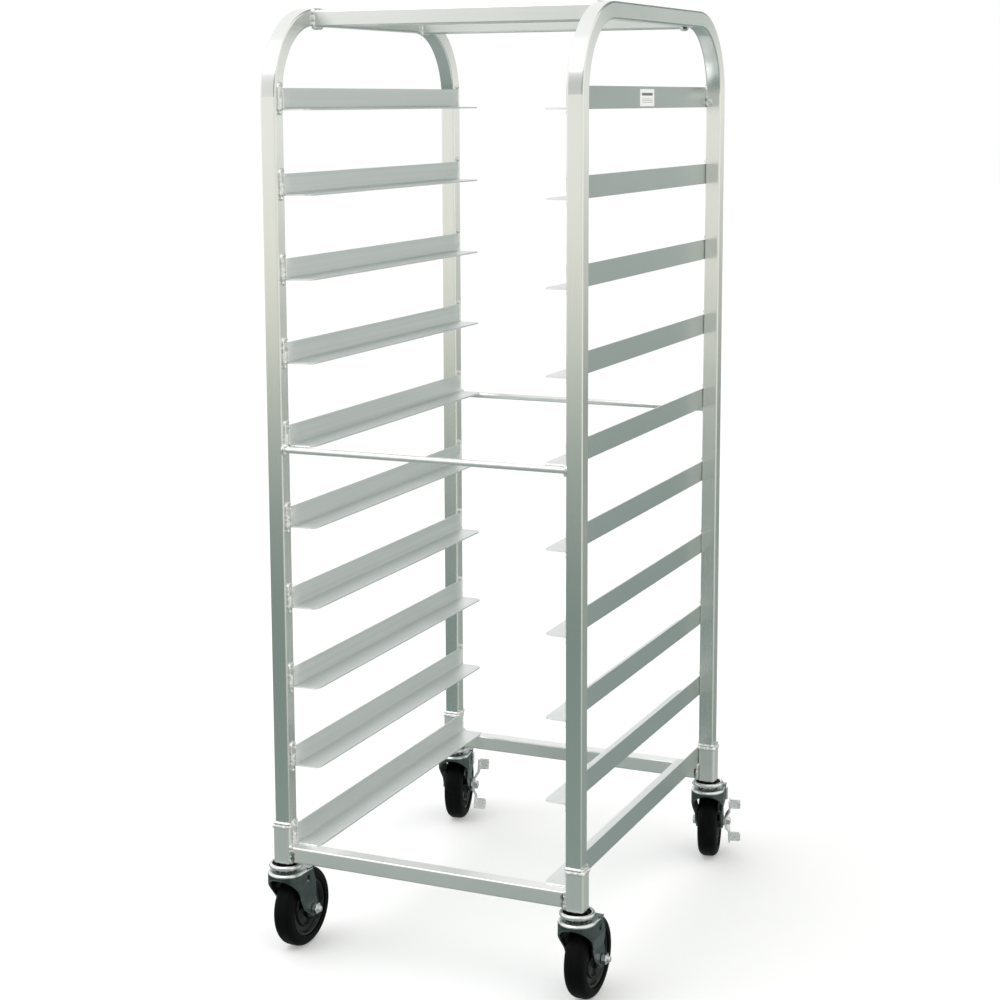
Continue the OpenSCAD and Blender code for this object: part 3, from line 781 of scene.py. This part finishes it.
for corner in BRAKED:
    place = standing(f"brake_{corner}")
    local = [place.inverted() @ v.co for v in NODES[f"brake_lever_{corner}"].data.vertices]
    reach = max(v.x for v in local)
    rims = Shape()
    for top in (1, -1):
        tab = [v for v in local if v.x > reach - TAB_REACH / 2 and v.z * top > 0]
        y, z = ((min(v[k] for v in tab) + max(v[k] for v in tab)) / 2 for k in (1, 2))
        up = Vector((0, y * top, z * top)).normalized()
        out = up.cross(X) * -1
        if out.y >= 0:
            out = -out
        tab_rim(rims, Vector((reach - TAB_REACH / 2, y, z)) + out * TAB_T / 2, up, out, place)
    add_piece(f"brake_tab_rims_{corner}", rims.verts, rims.faces, BRIGHT, f"brake_{corner}")
caps = add_piece("race_caps", cap_shape.verts, cap_shape.faces, ZINC, "frame")
caps.data.materials.append(CAP_RECESS_SHADE)
# painted shade: the faces of the dish inside each cap's rim take the near-black second finish
for poly in caps.data.polygons:
    around = min((poly.center.xy - Vector(JOINTS[f"swivel_{c}"]["pos_m"]).xy).length for c in CORNERS)
    if 14.8 * MM < around < 21.2 * MM and poly.center.z > 145 * MM:
        poly.material_index = 1
sharpen(caps, 50)
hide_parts("upper_races")


# ---------------------------------------------------------------- studio

def camera():
    """Standing eye height, in front and to the right of the rack."""
    yaw, pitch, roll = math.radians(24.24), math.radians(8.76), math.radians(-0.32)
    ahead = Vector((-math.sin(yaw) * math.cos(pitch), math.cos(yaw) * math.cos(pitch), -math.sin(pitch)))
    level = Vector((math.cos(yaw), math.sin(yaw), 0))
    above = level.cross(ahead)
    right = level * math.cos(roll) + above * math.sin(roll)
    up = above * math.cos(roll) - level * math.sin(roll)
    data = bpy.data.cameras.new("camera")
    data.sensor_width = 36
    data.lens = 73.01
    data.shift_x, data.shift_y = 0.02745, -0.08525
    data.clip_start, data.clip_end = 0.05, 60
    cam = bpy.data.objects.new("camera", data)
    turned = Matrix((right, up, -ahead)).transposed().to_4x4()
    cam.matrix_world = Matrix.Translation((1.2813, -2.9834 + MID_Y, 1.3345)) @ turned
    bpy.context.scene.collection.objects.link(cam)
    bpy.context.scene.camera = cam


def world_light():
    """A pale studio: white paper behind and above, cream wall in front, dim floor, dim room on the right."""
    world = bpy.data.worlds.new("studio")
    bpy.context.scene.world = world
    world.use_nodes = True
    tree = world.node_tree
    tree.nodes.clear()
    new, link = tree.nodes.new, tree.links.new
    coord = new("ShaderNodeTexCoord")
    parts = new("ShaderNodeSeparateXYZ")
    link(coord.outputs["Generated"], parts.inputs[0])
    flat = new("ShaderNodeVectorMath")
    flat.operation = "MULTIPLY"
    flat.inputs[1].default_value = (1, 1, 0)
    link(coord.outputs["Generated"], flat.inputs[0])
    level_way = new("ShaderNodeVectorMath")
    level_way.operation = "NORMALIZE"
    link(flat.outputs["Vector"], level_way.inputs[0])

    def ramp(stops, value):
        made = new("ShaderNodeValToRGB")
        bar = made.color_ramp
        while len(bar.elements) < len(stops):
            bar.elements.new(0.5)
        for element, (place, colour) in zip(bar.elements, stops):
            element.position = place
            element.color = (*colour, 1)
        link(value, made.inputs["Fac"])
        return made.outputs["Color"]

    def at(degrees):
        """Where an elevation lies on a ramp that runs from straight down to straight up."""
        return (math.sin(math.radians(degrees)) + 1) / 2

    def facing(azimuth):
        """How squarely a direction faces an azimuth, counted from the back of the rack towards its right."""
        made = new("ShaderNodeVectorMath")
        made.operation = "DOT_PRODUCT"
        made.inputs[1].default_value = (math.sin(math.radians(azimuth)), math.cos(math.radians(azimuth)), 0)
        link(level_way.outputs["Vector"], made.inputs[0])
        return made.outputs["Value"]

    def blend(kind, factor, first, second):
        made = new("ShaderNodeMix")
        made.data_type = "RGBA"
        made.blend_type = kind
        if isinstance(factor, float):
            made.inputs[0].default_value = factor
        else:
            link(factor, made.inputs[0])
        link(first, made.inputs[6])
        link(second, made.inputs[7])
        return made.outputs[2]

    height = new("ShaderNodeMapRange")
    for key, number in zip(("From Min", "From Max"), (-1, 1)):
        height.inputs[key].default_value = number
    link(parts.outputs["Z"], height.inputs["Value"])
    level = height.outputs["Result"]
    below = [(at(-60), (0.30, 0.35, 0.34)), (at(-19), (0.25, 0.31, 0.29)), (at(-14), (0.16, 0.21, 0.20)),
             (at(-10.5), (0.27, 0.33, 0.30)), (at(-8), (0.44, 0.48, 0.42))]
    paper = ramp(below + [(at(-6), (0.86, 0.85, 0.77)), (at(0), (1.0, 0.99, 0.95)),
                          (at(12), (1.0, 1.0, 1.0))], level)
    ahead = ramp(below + [(at(-5), (0.82, 0.81, 0.74)), (at(1), (0.90, 0.89, 0.83)),
                          (at(5), (0.30, 0.33, 0.31)), (at(18), (0.36, 0.39, 0.37)),
                          (at(40), (1.0, 1.0, 1.0))], level)
    dim = ramp([(at(-60), (0.30, 0.35, 0.34)), (at(-16), (0.24, 0.30, 0.29)), (at(-9), (0.15, 0.20, 0.185)),
                (at(-4), (0.46, 0.50, 0.46)), (at(0), (0.90, 0.92, 0.88)), (at(3), (0.60, 0.64, 0.61)),
                (at(7), (0.17, 0.21, 0.20)), (at(70), (0.25, 0.28, 0.27))], level)
    right = ramp([(at(-60), (0.30, 0.34, 0.32)), (at(-22), (0.38, 0.42, 0.38)), (at(-13), (0.78, 0.78, 0.71)),
                  (at(0), (0.95, 0.94, 0.90))], level)
    # sectors round the rack: dim behind its right side, bright at its right, dimmer ahead of it
    behind_right = ramp([(0.90, (0, 0, 0)), (0.97, (1, 1, 1))], facing(12))
    at_right = ramp([(0.66, (0, 0, 0)), (0.78, (1, 1, 1))], facing(80))
    in_front = ramp([(0.66, (0, 0, 0)), (0.76, (1, 1, 1))], facing(160))
    walls = blend("MIX", in_front, paper, ahead)
    walls = blend("MIX", at_right, walls, right)
    walls = blend("MIX", behind_right, walls, dim)
    lit = new("ShaderNodeBackground")
    link(walls, lit.inputs["Color"])
    lit.inputs["Strength"].default_value = 1.0
    seen = new("ShaderNodeBackground")
    seen.inputs["Color"].default_value = (1, 1, 1, 1)
    path = new("ShaderNodeLightPath")
    choose = new("ShaderNodeMixShader")
    link(path.outputs["Is Camera Ray"], choose.inputs[0])
    link(lit.outputs[0], choose.inputs[1])
    link(seen.outputs[0], choose.inputs[2])
    out = new("ShaderNodeOutputWorld")
    link(choose.outputs[0], out.inputs["Surface"])


def soft_light(name, place, aim, size, power):
    data = bpy.data.lights.new(name, "AREA")
    data.shape = "RECTANGLE"
    data.size, data.size_y = size
    data.energy = power
    light = bpy.data.objects.new(name, data)
    light.location = place
    light.rotation_euler = (Vector(aim) - Vector(place)).to_track_quat("-Z", "Y").to_euler()
    bpy.context.scene.collection.objects.link(light)


def floor():
    """Plain pale floor."""
    f = Finish("floor_paint")
    f.put("Base Color", (0.93, 0.93, 0.93, 1))
    f.put("Roughness", 0.9)
    f.put("Emission Color", (1, 1, 1, 1))
    f.put("Emission Strength", 0.25)
    half = 30
    mesh = bpy.data.meshes.new("floor")
    square = [(-half, -half, 0), (half, -half, 0), (half, half, 0), (-half, half, 0)]
    mesh.from_pydata(square, [], [(0, 1, 2, 3)])
    mesh.materials.append(f.mat)
    obj = bpy.data.objects.new("floor", mesh)
    obj.visible_glossy = False
    bpy.context.scene.collection.objects.link(obj)


camera()
world_light()
floor()
soft_light("key", (-1.0, -2.2, 3.6), (0, 0, 0.9), (2.6, 2.0), 26)
bpy.context.scene.view_settings.view_transform = "Standard"
